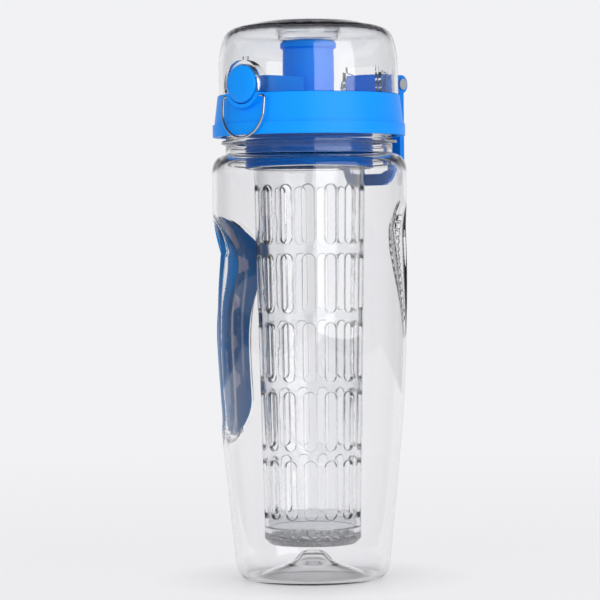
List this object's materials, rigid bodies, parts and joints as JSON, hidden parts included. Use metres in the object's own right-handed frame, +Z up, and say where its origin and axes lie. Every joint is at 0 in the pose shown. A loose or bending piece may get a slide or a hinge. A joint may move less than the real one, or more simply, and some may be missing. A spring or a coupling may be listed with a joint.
{
  "type": "fruit infuser water bottle",
  "caption": "Clear infuser bottle with a blue screw lid, flip-up dome over a spout, latch button, lock bail, carry loop, strainer basket and soft grip pad.",
  "frame": {"origin": "centre of the base, on the plane the bottle stands on", "axes": "+Z up along the bottle's axis; the latch button faces -Y and the lid's hinge is at +Y"},
  "size_m": [0.0892, 0.098, 0.2559],
  "materials": {
    "clear_plastic": "polished",
    "blue_plastic": "gloss",
    "blue_silicone": "satin",
    "grey_silicone": "satin",
    "steel": "polished"
  },
  "bodies": {
    "bottle": {"bottle_body": "clear_plastic", "grip_pad": "blue_silicone"},
    "seal": {"lid_seal": "grey_silicone"},
    "lid": {"lid_base": "blue_plastic", "spout": "blue_plastic", "hinge_pin": "steel", "hinge_spring": "steel", "button_spring": "steel"},
    "dome": {"dome_cap": "clear_plastic", "spout_seal": "grey_silicone"},
    "button": {"latch_button": "blue_plastic"},
    "bail": {"lock_bail": "steel"},
    "loop": {"carry_loop": "blue_plastic"},
    "infuser": {"infuser_collar": "blue_plastic", "infuser_basket": "clear_plastic", "infuser_base": "clear_plastic"}
  },
  "joints": [
    {"name": "lid_lift", "type": "slide", "parent": "bottle", "child": "seal", "axis": [0, 0, 1], "range_m": [0, 0.008]},
    {"name": "lid_turn", "type": "hinge", "parent": "seal", "child": "lid", "pos_m": [0, 0, 0.21], "axis": [0, 0, 1], "range_deg": [0, 720]},
    {"name": "dome_hinge", "type": "hinge", "parent": "lid", "child": "dome", "pos_m": [0, 0.0466, 0.228], "axis": [-1, 0, 0], "range_deg": [0, 120]},
    {"name": "button_press", "type": "slide", "parent": "lid", "child": "button", "axis": [0, 1, 0], "range_m": [0, 0.0024], "stiffness_N_per_m": 600, "springref_m": -0.001, "deforming": ["button_spring"]},
    {"name": "bail_swing", "type": "hinge", "parent": "lid", "child": "bail", "pos_m": [0, -0.0434, 0.2202], "axis": [1, 0, 0], "range_deg": [-174, 0]},
    {"name": "loop_swing", "type": "hinge", "parent": "lid", "child": "loop", "pos_m": [0, 0.0466, 0.228], "axis": [-1, 0, 0], "range_deg": [-170, 0]},
    {"name": "infuser_twist", "type": "hinge", "parent": "lid", "child": "infuser", "pos_m": [0, 0, 0.2], "axis": [0, 0, 1], "range_deg": [0, 90]}
  ],
  "couplings": [
    {"joint": "lid_turn", "follows": "lid_lift", "rad_per_m": 1570.8}
  ]
}
